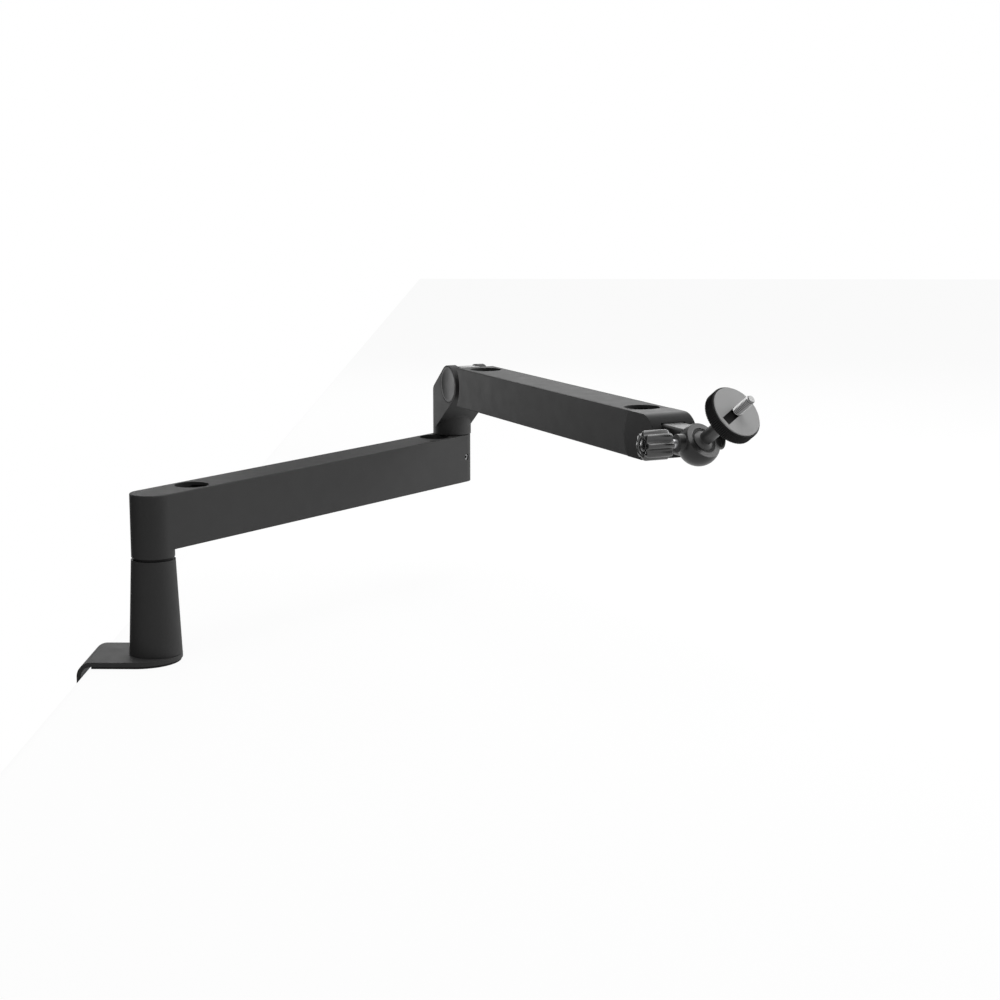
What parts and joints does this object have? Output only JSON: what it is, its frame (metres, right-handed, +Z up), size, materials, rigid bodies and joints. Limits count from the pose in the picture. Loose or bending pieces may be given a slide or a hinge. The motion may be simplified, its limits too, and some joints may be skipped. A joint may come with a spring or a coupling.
{
  "type": "microphone boom arm",
  "caption": "Low-profile microphone boom arm with a desk clamp, two cable-channel arms on swivels, a tilt hinge at the elbow and a ball head with a threaded stud.",
  "frame": {"origin": "point on the post axis at the desk surface, under the clamp's top pad", "axes": "+Z up from the desk, +X along the lower arm from the post to the elbow"},
  "size_m": [0.414, 0.4442, 0.3367],
  "materials": {
    "satin_paint": "satin powder coat",
    "cover_paint": "satin powder coat",
    "dark_cast": "matt black",
    "black_plastic": "matt",
    "head_plastic": "satin",
    "white_nylon": "matt",
    "grey_pad": "matt",
    "black_rubber": "matt",
    "plain_steel": "turned",
    "bright_plate": "bright",
    "bearing_bronze": "plain"
  },
  "bodies": {
    "clamp": {"clamp_bracket": "satin_paint", "top_pad": "black_rubber", "post_screws": "plain_steel", "clamp_nut": "plain_steel", "base_post": "satin_paint", "post_bush": "bearing_bronze", "swivel_washer": "head_plastic"},
    "foot": {"pressure_foot": "satin_paint", "foot_pad": "black_rubber"},
    "screw": {"clamp_screw": "plain_steel", "clamp_handle": "black_plastic"},
    "lower": {"lower_arm": "satin_paint", "base_spindle": "plain_steel", "lower_magnets": "bright_plate", "elbow_bush": "bearing_bronze", "elbow_washer": "head_plastic", "elbow_set_screw": "plain_steel"},
    "lower_lid": {"lower_cover": "cover_paint"},
    "elbow": {"elbow_knuckle": "satin_paint", "elbow_pin": "plain_steel", "elbow_keeper": "plain_steel", "elbow_screw": "plain_steel", "hinge_bolt": "plain_steel", "hinge_nut": "plain_steel", "hinge_caps": "head_plastic"},
    "upper": {"upper_arm": "satin_paint", "hinge_tongue": "dark_cast", "tongue_screws": "plain_steel", "hinge_bush": "bearing_bronze", "hinge_washers": "white_nylon", "upper_magnets": "bright_plate", "head_housing": "head_plastic", "housing_screws": "plain_steel", "socket_set_screw": "plain_steel", "ball_socket": "black_plastic"},
    "upper_lid": {"upper_cover": "cover_paint"},
    "lock": {"lock_screw": "plain_steel", "lock_knob": "black_plastic"},
    "seat": {"ball_seat": "black_plastic"},
    "head": {"ball_stem": "dark_cast", "stud": "bright_plate"},
    "disc": {"lock_disc": "head_plastic", "disc_face": "grey_pad"}
  },
  "joints": [
    {"name": "base_swivel", "type": "hinge", "parent": "clamp", "child": "lower", "pos_m": [0, 0, 0.0713], "axis": [0, 0, 1], "continuous": true},
    {"name": "elbow_swivel", "type": "hinge", "parent": "lower", "child": "elbow", "pos_m": [0.3474, 0, 0.1174], "axis": [0, 0, 1], "continuous": true},
    {"name": "arm_tilt", "type": "hinge", "parent": "elbow", "child": "upper", "pos_m": [0.33365, -0.02382, 0.1615], "axis": [-0.866, 0.5, 0], "range_deg": [0, 80]},
    {"name": "ball_swivel", "type": "hinge", "parent": "upper", "child": "seat", "pos_m": [0.14965, -0.34251, 0.1615], "axis": [0, 0, 1], "range_deg": [-28, 28]},
    {"name": "ball_tilt", "type": "hinge", "parent": "seat", "child": "head", "pos_m": [0.14965, -0.34251, 0.1615], "axis": [-0.9673, 0.2538, 0], "range_deg": [-20, 20]},
    {"name": "disc_turn", "type": "hinge", "parent": "head", "child": "disc", "pos_m": [0.14148, -0.37364, 0.18593], "axis": [-0.2021, -0.7705, 0.6046], "continuous": true},
    {"name": "lock_turn", "type": "hinge", "parent": "upper", "child": "lock", "pos_m": [0.13025, -0.33131, 0.1633], "axis": [-0.866, 0.5, 0], "range_deg": [0, 360]},
    {"name": "foot_slide", "type": "slide", "parent": "clamp", "child": "foot", "axis": [0, 0, 1], "range_m": [-0.035, 0.02]},
    {"name": "screw_turn", "type": "hinge", "parent": "foot", "child": "screw", "pos_m": [-0.00562, 0.00833, -0.055], "axis": [0, 0, 1], "continuous": true},
    {"name": "lower_lid_lift", "type": "slide", "parent": "lower", "child": "lower_lid", "axis": [0, 0, 1], "range_m": [0, 0.02]},
    {"name": "upper_lid_lift", "type": "slide", "parent": "upper", "child": "upper_lid", "axis": [0, 0, 1], "range_m": [0, 0.02]}
  ],
  "couplings": [
    {"joint": "screw_turn", "follows": "foot_slide", "rad_per_m": 2094.4}
  ]
}
